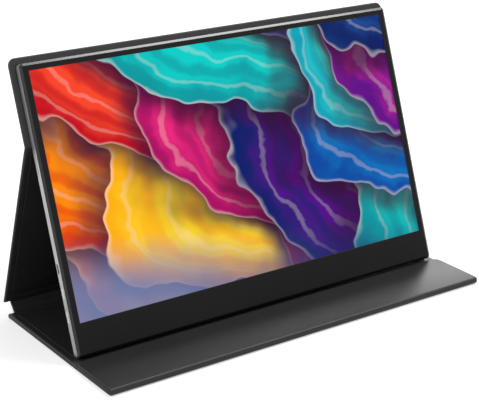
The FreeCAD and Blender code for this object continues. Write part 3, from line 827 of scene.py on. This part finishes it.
class Repeat(NodeMaker):
    """A Geometry Nodes tree that repeats one small block."""

    def __init__(self, name: str, material: bpy.types.Material) -> None:
        """Start a tree with an output.

        Args:
            name: Name of the tree and of what it makes.
            material: Finish of the blocks.
        """
        super().__init__(bpy.data.node_groups.new(name, "GeometryNodeTree"))
        self.name = name
        self.material = material
        self.tree.interface.new_socket("Geometry", in_out="OUTPUT", socket_type="NodeSocketGeometry")
        self.values: dict[str, object] = {}
        self.entry = self.tree.nodes.new("NodeGroupInput")

    def given(self, name: str, kind: str, value: object) -> bpy.types.NodeSocket:
        """A named input of the tree.

        Args:
            name: Name of the input.
            kind: Socket type, such as Int, Float, Vector or Rotation.
            value: Its value on the modifier.

        Returns:
            The socket that carries it.
        """
        socket = self.tree.interface.new_socket(name, in_out="INPUT", socket_type=f"NodeSocket{kind}")
        self.values[socket.identifier] = value
        return self.entry.outputs[name]

    def finish(self, instances: bpy.types.NodeSocket) -> bpy.types.Object:
        """Realise the instances as one plain mesh.

        Args:
            instances: Socket with the placed instances.

        Returns:
            The piece, at the origin, with no modifier left.
        """
        real = self.node("GeometryNodeRealizeInstances", None, {"Geometry": instances})
        dressed = self.node("GeometryNodeSetMaterial", None,
                            {"Geometry": real.outputs["Geometry"], "Material": self.material})
        self.node("NodeGroupOutput", None, {"Geometry": dressed.outputs["Geometry"]})
        host = bpy.data.objects.new(self.name + "_host", bpy.data.meshes.new(self.name + "_host"))
        bpy.context.scene.collection.objects.link(host)
        modifier = host.modifiers.new("repeat", "NODES")
        modifier.node_group = self.tree
        for identifier, value in self.values.items():
            modifier[identifier] = value
        evaluated = host.evaluated_get(bpy.context.evaluated_depsgraph_get())
        mesh = bpy.data.meshes.new_from_object(evaluated)
        bpy.data.objects.remove(host)
        mesh.name = self.name
        return placed(self.name, mesh, self.material)


@dataclass
class CoverPanel:
    """One stiff panel of the cover: a skin with a rolled edge and hem, and a lining set into it."""

    name: str
    body: str
    axes: Axes
    corners: tuple[float, float, float, float]
    outer_round: float = 0.5 * MM
    inner_round: float = 1.1 * MM
    inner_share: float = 0.6
    hem: float = 5.5 * MM
    groove: float = 0.35 * MM
    lining_gap: float = 0.12 * MM
    lining_round: float = 0.3 * MM

    def build(self) -> None:
        """Make the skin and the lining."""
        low, high = self.axes.extent(f"{self.name}_skin")
        self.build_skin(low, high)
        self.build_lining(low, high)

    def build_skin(self, low: Vector, high: Vector) -> None:
        """Rolled outer edge, flat hem with a soft inner lip, and the recess for board and lining.

        Args:
            low: Low corner of the panel.
            high: High corner of the panel.
        """
        outer, inner = self.outer_round, min(self.inner_round, (high.z - low.z) * self.inner_share)
        board_low = self.axes.extent(f"{self.name}_board")[0].z
        profile = edge_round((outer, low.z + outer), outer, 270.0)
        profile += edge_round((inner, high.z - inner), inner, 180.0)
        profile += edge_round((self.hem - self.groove, high.z - self.groove), self.groove, 90.0)
        profile += [(self.hem, board_low)]
        rings = self.axes.stack(low, high, self.corners, profile)
        piece = loft(f"{self.name}_cover_skin", rings, Finish.COVER_LEATHER.material)
        keep(piece, self.body, "cover_leather", f"{self.name}_skin")

    def build_lining(self, low: Vector, high: Vector) -> None:
        """Thin lining with softened edges, level with the hem.

        Args:
            low: Low corner of the panel.
            high: High corner of the panel.
        """
        sheet_low, sheet_high = self.axes.extent(f"{self.name}_lining")
        inset = self.hem + self.lining_gap
        radius = self.lining_round
        profile = [(inset, sheet_low.z)]
        profile += edge_round((inset + radius, sheet_high.z - radius), radius, 180.0)
        rings = self.axes.stack(low, high, self.corners, profile)
        piece = loft(f"{self.name}_cover_lining", rings, Finish.COVER_LINING.material)
        keep(piece, self.body, "cover_lining", f"{self.name}_lining")


@dataclass
class FoldStrip:
    """Flexible strip of cover cloth across one fold, rooted in the panels on both sides."""

    name: str
    bodies: tuple[str, str]
    pivot: Vector
    first: Vector
    second: Vector
    half_wide: float
    bend: float
    reach: tuple[float, float]
    outside: tuple[float, float]
    inside: float
    end_round: float = 0.3 * MM
    steps: int = 12
    root: float = 0.6

    def middle_line(self) -> list[tuple[Vector, Vector]]:
        """Middle of the strip, from the first panel to the second.

        Returns:
            Its points, each with the direction to the outside.
        """
        turn = math.pi - self.first.angle(self.second)
        tangent = self.bend * math.tan(turn / 2)
        inward = (self.first + self.second).normalized()
        centre = self.pivot + inward * (self.bend / math.cos(turn / 2))
        spoke = self.pivot + self.first * tangent - centre
        last_spoke = self.pivot + self.second * tangent - centre
        swing = RIGHT if RIGHT.dot(spoke.cross(last_spoke)) > 0 else -RIGHT
        arc = [Matrix.Rotation(turn * step / self.steps, 3, swing) @ spoke for step in range(self.steps + 1)]
        line = [(self.pivot + self.first * self.reach[0], arc[0].normalized())]
        line += [(centre + arm, arm.normalized()) for arm in arc]
        line += [(self.pivot + self.second * self.reach[1], arc[-1].normalized())]
        return line

    def build(self) -> None:
        """Make the strip in place between its two panels."""
        line = self.middle_line()
        last = len(line) - 1
        start, end = self.outside
        outside = [start + (end - start) * index / last for index in range(last + 1)]
        edge = self.half_wide - self.end_round
        rings = []
        for x, draw_in in ((-self.half_wide, self.end_round), (-edge, 0.0), (edge, 0.0),
                           (self.half_wide, self.end_round)):
            outer = [point + normal * (thick - draw_in) + RIGHT * x
                     for (point, normal), thick in zip(line, outside)]
            inner = [point - normal * (self.inside - draw_in) + RIGHT * x for point, normal in reversed(line)]
            rings.append(outer + inner)
        piece = loft(self.name, rings, Finish.COVER_LEATHER.material)
        self.pivot + self.first * self.reach[0] * self.root
        self.pivot + self.second * self.reach[1] * self.root
        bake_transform(piece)
        LOG.info("%s bends between %s and %s", self.name, *self.bodies)


@dataclass
class Cover:
    """The folding cover: four stiff panels, the spine, the front edge and five flexible folds."""

    layout: Layout
    free_corner: float = 6.0 * MM
    square_corner: float = 0.3 * MM
    bar_round: float = 0.8 * MM
    bar_pull: float = 0.35 * MM
    strip_thick: float = 0.92 * MM
    strip_reach: float = 4.5 * MM
    rear_bend: float = 1.6 * MM
    front_bend: float = 1.0 * MM
    front_inside: float = 0.55 * MM
    front_thick: float = 1.25 * MM
    front_end_round: float = 0.5 * MM
    skin_step: float = 0.03 * MM

    def build(self) -> None:
        """Make all pieces of the cover."""
        free, square = self.free_corner, self.square_corner
        for name, body, axes, corners in (
                ("back", "screen", self.layout.back, (square, free, free, square)),
                ("strut", "strut", self.layout.strut, (square,) * 4),
                ("base", "base", self.layout.base, (square,) * 4),
                ("flap", "flap", self.layout.flap, (free, square, square, free))):
            CoverPanel(name, body, axes, corners).build()
        self.build_bar("spine_cover", "spine", self.layout.spine, "spine_wrap")
        self.build_bar("front_edge_core", "front_edge", self.layout.edge, "front_fold_band")
        self.build_bar("back_fold_root", "strut", self.layout.strut, "back_fold_band")
        self.build_folds()

    def build_bar(self, name: str, body: str, axes: Axes, node: str) -> None:
        """A slim bar of cover cloth between two folds, in the place of a frame node.

        Args:
            name: Name of the piece.
            body: Body that it moves with.
            axes: Axes of its panel.
            node: Frame node that it stands for.
        """
        low, high = axes.extent(node)
        pull = Vector((self.bar_pull, 2 * self.bar_pull, self.bar_pull))
        low, high = low + pull, high - pull
        radius = min(self.bar_round, (high.z - low.z) / 2 * 0.9)
        profile = edge_round((radius, low.z + radius), radius, 270.0)
        profile += edge_round((radius, high.z - radius), radius, 180.0)
        rings = axes.stack(low, high, (self.square_corner,) * 4, profile)
        keep(loft(name, rings, Finish.COVER_LEATHER.material), body, "cover_leather", node)

    def build_folds(self) -> None:
        """The flexible strips across the five folds."""
        layout = self.layout
        full = layout.base.extent("base_skin")[1].x - self.skin_step
        narrow = layout.spine.extent("spine_wrap")[1].x
        for name, bodies, joint, first, second, half_wide in (
                ("rear_fold_strip", ("base", "spine"), "base_fold", layout.base, layout.spine, narrow),
                ("spine_fold_strip", ("spine", "strut"), "spine_fold", layout.spine, layout.strut, narrow),
                ("back_fold_strip", ("strut", "screen"), "back_fold", layout.strut, layout.back, full)):
            FoldStrip(name, bodies, layout.fold[joint], -first.along, second.along, half_wide, self.rear_bend,
                      (self.strip_reach,) * 2, (self.strip_thick,) * 2, self.strip_thick).build()
        base_out = layout.base.extent("base_skin")[1].z - self.skin_step
        flap_out = layout.flap.extent("flap_skin")[1].z - self.skin_step
        half_edge = (layout.fold["front_fold"] - layout.fold["flap_fold"]).length / 2
        FoldStrip("front_fold_strip", ("base", "front_edge"), layout.fold["front_fold"], layout.base.along,
                  layout.edge.along, full, self.front_bend, (self.strip_reach, half_edge),
                  (base_out, self.front_thick), self.front_inside, self.front_end_round).build()
        FoldStrip("flap_fold_strip", ("front_edge", "flap"), layout.fold["flap_fold"], -layout.edge.along,
                  -layout.flap.along, full, self.front_bend, (half_edge, self.strip_reach),
                  (self.front_thick, flap_out), self.front_inside, self.front_end_round).build()


@dataclass
class Bezel:
    """Black front frame with softened chamfers around the picture."""

    axes: Axes
    side_border: float = 7.0 * MM
    top_border: float = 6.0 * MM
    chin: float = 26.0 * MM
    corner: float = 3.0 * MM
    chamfer_wide: float = 2.1 * MM
    chamfer_deep: float = 1.0 * MM
    softness: float = 0.25 * MM
    lip: float = 0.75 * MM
    recess: float = 2.8 * MM
    recess_low: float = 8.3 * MM
    slope_loops: tuple[float, ...] = (0.06, 0.12, 0.88, 0.94)
    mark_margin: float = 0.03

    def build(self) -> None:
        """Make the frame as rings from its rear edge over the front to the recess behind the lip."""
        low, high = self.axes.extent("front_bezel")
        window_low = (low.x + self.side_border, low.y + self.chin)
        window_high = (high.x - self.side_border, high.y - self.top_border)
        square = (0.0,) * 4
        front, soft = high.z, self.softness
        slope = [(self.chamfer_wide * share, front - self.chamfer_deep * (1.0 - share))
                 for share in self.slope_loops]
        rings = [(rounded_loop(low.xy, high.xy, (self.corner,) * 4, inset), depth) for inset, depth in (
            (0.0, low.z), (0.0, front - self.chamfer_deep - soft), *slope,
            (self.chamfer_wide + soft, front), (self.chamfer_wide + 2 * soft, front))]
        rings += [(rounded_loop(window_low, window_high, square, -grow), depth) for grow, depth in (
            (2 * soft, front), (soft, front), (soft * 0.3, front - soft * 0.3), (0.0, front - soft),
            (0.0, front - self.lip))]
        recess_low = (window_low[0] - self.recess, window_low[1] - self.recess_low)
        recess_high = (window_high[0] + self.recess, window_high[1] + self.recess)
        recess = rounded_loop(recess_low, recess_high, square)
        rings += [(recess, front - self.lip), (recess, low.z)]
        points = [[self.axes.point(x, y, depth) for x, y in loop] for loop, depth in rings]
        piece = loft("bezel_frame", points, Finish.BLACK_FRAME.material, closed=True)
        self.mark_chamfer(piece.data)
        keep(piece, "screen", "black_frame", "front_bezel")

    def mark_chamfer(self, mesh: bpy.types.Mesh) -> None:
        """Note on each face whether it belongs to the polished outer chamfer.

        Args:
            mesh: Mesh of the frame.
        """
        level = math.cos(math.atan2(self.chamfer_deep, self.chamfer_wide))
        marks = mesh.attributes.new(POLISHED, "FLOAT", "FACE")
        for face in mesh.polygons:
            off = abs(face.normal.dot(self.axes.out) - level)
            marks.data[face.index].value = float(off < self.mark_margin)


@dataclass
class ScreenUnit:
    """The screen: bezel, lit film, socket inserts and contacts, and the menu wheel's ridges."""

    layout: Layout
    bezel: Bezel
    insert_depth: float = 0.2 * MM
    insert_back: float = 1.2 * MM
    insert_wall: float = 0.38 * MM
    insert_corner: float = 0.7 * MM
    insert_soft: float = 0.1 * MM
    insert_taper: Corner = (0.04, 0.1)
    contact_pitch: float = 0.5 * MM
    contact_depth: float = 1.0 * MM
    contact_rise: float = 0.36 * MM
    contact_size: tuple[float, float, float] = (4.4 * MM, 0.26 * MM, 0.07 * MM)
    ridge_count: int = 44
    ridge_size: tuple[float, float, float] = (0.26 * MM, 0.42 * MM, 1.5 * MM)

    def build(self) -> None:
        """Make all pieces of the screen that the frame lacks."""
        self.bezel.build()
        self.light_picture()
        for node in ("usb_c_port_lower", "mini_hdmi_port"):
            self.build_insert(node)
        for node, count in (("usb_c_port_upper", 12), ("usb_c_port_lower", 12), ("mini_hdmi_port", 10)):
            self.build_contacts(node, count)
        self.build_ridges()

    def light_picture(self) -> None:
        """Give the front film its lit picture."""
        low, high = self.layout.screen.extent("rear_shell")
        bezel = self.bezel
        up = self.layout.screen.along
        corner = (low.x + bezel.side_border, self.layout.screen.origin.dot(up) + low.y + bezel.chin)
        wide = high.x - low.x - 2 * bezel.side_border
        high_up = high.y - low.y - bezel.chin - bezel.top_border
        dress("front_polariser", LitPicture("screen_film", corner, tuple(up), wide, high_up).build())
        film = frame["nodes"]["front_polariser"]
        film.visible_glossy = False
        film.visible_diffuse = False

    def build_insert(self, node: str) -> None:
        """White moulding inside a socket's metal shell, behind its mouth.

        Args:
            node: Frame node of the socket.
        """
        axes = self.layout.screen
        low, high = axes.extent(node)
        wall, soft = self.insert_wall, self.insert_soft
        radius = (high.z - low.z) / 2 - wall if node.startswith("usb") else self.insert_corner
        loop = rounded_loop((low.y + wall, low.z + wall), (high.y - wall, high.z - wall), (radius,) * 4)
        start, end = low.x + self.insert_depth, high.x - self.insert_back
        middle = (low + high) / 2
        shrunk = [(y + (middle.y - y) * self.insert_taper[0], z + (middle.z - z) * self.insert_taper[1])
                  for y, z in loop]
        rings = [[axes.point(x, y, z) for y, z in outline] for x, outline in
                 ((start, shrunk), (start + soft, loop), (end, loop))]
        keep(loft(f"{node}_insert", rings, Finish.WHITE_PLASTIC.material), "screen", "white_plastic")

    def build_contacts(self, node: str, count: int) -> None:
        """Row of contacts on a socket's tongue.

        Args:
            node: Frame node of the socket.
            count: Number of contacts.
        """
        axes = self.layout.screen
        low, high = axes.extent(node)
        middle = (low + high) / 2
        start = axes.point(low.x + self.contact_depth + self.contact_size[0] / 2,
                           middle.y - self.contact_pitch * (count - 1) / 2, middle.z + self.contact_rise)
        row = Repeat(f"{node}_contacts", Finish.SOCKET_METAL.material)
        line = row.node("GeometryNodeMeshLine", None, {
            "Count": row.given("Count", "Int", count),
            "Start Location": row.given("Start", "Vector", tuple(start)),
            "Offset": row.given("Step", "Vector", tuple(axes.along * self.contact_pitch))})
        block = row.node("GeometryNodeMeshCube", None, {
            "Size": row.given("Size", "Vector", self.contact_size)})
        placing = row.node("GeometryNodeInstanceOnPoints", None, {
            "Points": line.outputs["Mesh"], "Instance": block.outputs["Mesh"],
            "Rotation": row.given("Turn", "Rotation", (axes.lean, 0.0, 0.0))})
        keep(row.finish(placing.outputs["Instances"]), "screen", "socket_metal")

    def build_ridges(self) -> None:
        """Grip ridges round the rim of the menu wheel."""
        axes = self.layout.screen
        low, high = axes.extent("menu_wheel")
        middle = (low + high) / 2
        ridges = Repeat("menu_wheel_ridges", Finish.BLACK_PLASTIC.material)
        circle = ridges.node("GeometryNodeMeshCircle", None, {
            "Vertices": ridges.given("Count", "Int", self.ridge_count),
            "Radius": ridges.given("Radius", "Float", (high.x - low.x) / 2)})
        block = ridges.node("GeometryNodeMeshCube", None, {
            "Size": ridges.given("Size", "Vector", self.ridge_size)})
        spot = ridges.node("GeometryNodeInputPosition")
        facing = ridges.node("FunctionNodeAlignRotationToVector", {"axis": "X"},
                             {"Vector": spot.outputs["Position"]})
        placing = ridges.node("GeometryNodeInstanceOnPoints", None, {
            "Points": circle.outputs["Mesh"], "Instance": block.outputs["Mesh"],
            "Rotation": facing.outputs["Rotation"]})
        moved = ridges.node("GeometryNodeTransform", None, {
            "Geometry": placing.outputs["Instances"],
            "Translation": ridges.given("Centre", "Vector", tuple(axes.point(*middle))),
            "Rotation": ridges.given("Turn", "Rotation", (axes.lean, 0.0, 0.0))})
        keep(ridges.finish(moved.outputs["Geometry"]), "menu_wheel", "black_plastic")


def dress(node: str, material: bpy.types.Material) -> None:
    """Give a frame node its material.

    Args:
        node: Name of the frame node.
        material: Its finish.
    """
    piece = frame["nodes"][node]
    piece.data.materials.clear()
    piece.data.materials.append(material)


def dress_frame() -> None:
    """Give every frame node the finish of its slot in the record."""
    for part in frame["record"]["subparts"]:
        slot = part["material_slot"].upper()
        if slot in Finish.__members__:
            dress(part["node"], Finish[slot].material)


@dataclass
class PhotoCamera:
    """The photograph's camera, found from the screen's corners and edges."""

    azimuth: float = -36.11
    elevation: float = 20.67
    roll: float = -1.101
    distance: float = 1172.4 * MM
    target: tuple[float, float, float] = (-14.12 * MM, -5.4 * MM, 92.3 * MM)
    focal_pixels: float = 1451.0
    image_wide: float = 479.0
    sensor: float = 36.0
    far: float = 100.0

    def build(self) -> None:
        """Make the camera and make it the scene's own."""
        azimuth, elevation = math.radians(self.azimuth), math.radians(self.elevation)
        back = Vector((math.sin(azimuth) * math.cos(elevation), -math.cos(azimuth) * math.cos(elevation),
                       math.sin(elevation)))
        right = (-back).cross(Vector((0.0, 0.0, 1.0))).normalized()
        level = Matrix((right, back.cross(right), back)).transposed()
        turned = Matrix.Rotation(math.radians(-self.roll), 3, back) @ level
        data = bpy.data.cameras.new("photo_camera")
        data.sensor_width = self.sensor
        data.lens = self.focal_pixels / self.image_wide * self.sensor
        data.clip_end = self.far
        camera = bpy.data.objects.new("photo_camera", data)
        camera.matrix_world = Matrix.Translation(Vector(self.target) + back * self.distance) @ turned.to_4x4()
        bpy.context.scene.collection.objects.link(camera)
        bpy.context.scene.camera = camera


@dataclass(frozen=True)
class Lamp:
    """A soft rectangular lamp: its place and size in metres, and its power in watts."""

    name: str
    place: tuple[float, float, float]
    size: tuple[float, float]
    power: float
    aim: tuple[float, float, float] = (0.0, 0.0, 0.08)

    def build(self) -> None:
        """Make the lamp and let it face the object."""
        data = bpy.data.lights.new(self.name, "AREA")
        data.shape = "RECTANGLE"
        data.size, data.size_y = self.size
        data.energy = self.power
        item = bpy.data.objects.new(self.name, data)
        turn = (Vector(self.aim) - Vector(self.place)).to_track_quat("-Z", "Y")
        item.matrix_world = Matrix.Translation(self.place) @ turn.to_matrix().to_4x4()
        bpy.context.scene.collection.objects.link(item)


LAMPS = (
    Lamp("key_lamp", (-1.5, -0.5, 1.25), (1.2, 1.2), 15.0),
    Lamp("rear_lamp", (1.3, 1.6, 0.9), (1.4, 0.9), 11.0),
    Lamp("strip_lamp", (1.08, -0.36, 1.82), (0.4, 1.25), 18.0),
)


@dataclass
class Studio:
    """Pale floor, white surroundings and soft lamps."""

    ambient: float = 0.40
    floor_half: float = 12.0
    floor_drop: float = 0.2 * MM
    floor_tone: float = 0.86
    floor_lift: float = 0.42

    def build(self) -> None:
        """Make the surroundings."""
        bpy.context.scene.view_settings.view_transform = "Standard"
        self.build_world()
        self.build_floor()
        for lamp in LAMPS:
            lamp.build()

    def build_world(self) -> None:
        """White where it is seen or mirrored, and an even pale light otherwise."""
        world = bpy.data.worlds.new("studio")
        world.use_nodes = True
        bpy.context.scene.world = world
        sky = NodeMaker(world.node_tree)
        path = sky.node("ShaderNodeLightPath")
        seen = sky.math("MAXIMUM", path.outputs["Is Camera Ray"], path.outputs["Is Glossy Ray"])
        seen = sky.math("MAXIMUM", seen, path.outputs["Is Transmission Ray"])
        light = sky.node("ShaderNodeBackground", None, {"Color": grey(1.0), "Strength": self.ambient})
        white = sky.node("ShaderNodeBackground", None, {"Color": grey(1.0)})
        mixed = sky.node("ShaderNodeMixShader", None, {0: seen, 1: light.outputs[0], 2: white.outputs[0]})
        sky.node("ShaderNodeOutputWorld", None, {"Surface": mixed.outputs[0]})

    def build_floor(self) -> None:
        """Plain pale floor that keeps the object's shadow."""
        half, level = self.floor_half, -self.floor_drop
        mesh = bpy.data.meshes.new("floor")
        corners = ((-half, -half), (half, -half), (half, half), (-half, half))
        mesh.from_pydata([(x, y, level) for x, y in corners], [], [(0, 1, 2, 3)])
        floor = bpy.data.objects.new("floor", mesh)
        bpy.context.scene.collection.objects.link(floor)
        material = bpy.data.materials.new("floor_white")
        material.use_nodes = True
        paint = NodeMaker(material.node_tree)
        path = paint.node("ShaderNodeLightPath")
        matt = paint.node("ShaderNodeBsdfDiffuse", None, {"Color": grey(self.floor_tone)})
        lift = paint.math("MULTIPLY", path.outputs["Is Camera Ray"], self.floor_lift)
        glow = paint.node("ShaderNodeEmission", None, {"Strength": lift})
        added = paint.node("ShaderNodeAddShader", None, {0: matt.outputs[0], 1: glow.outputs[0]})
        paint.node("ShaderNodeOutputMaterial", None, {"Surface": added.outputs[0]})
        mesh.materials.append(material)


def main() -> None:
    """Build the camera, the surroundings and every piece of the object, in order."""
    logging.basicConfig(level=logging.INFO, format="%(name)s: %(message)s")
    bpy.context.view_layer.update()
    layout = Layout()
    PhotoCamera().build()
    Studio().build()
    dress_frame()
    Cover(layout).build()
    ScreenUnit(layout, Bezel(layout.screen)).build()


if __name__ == "__main__":
    main()
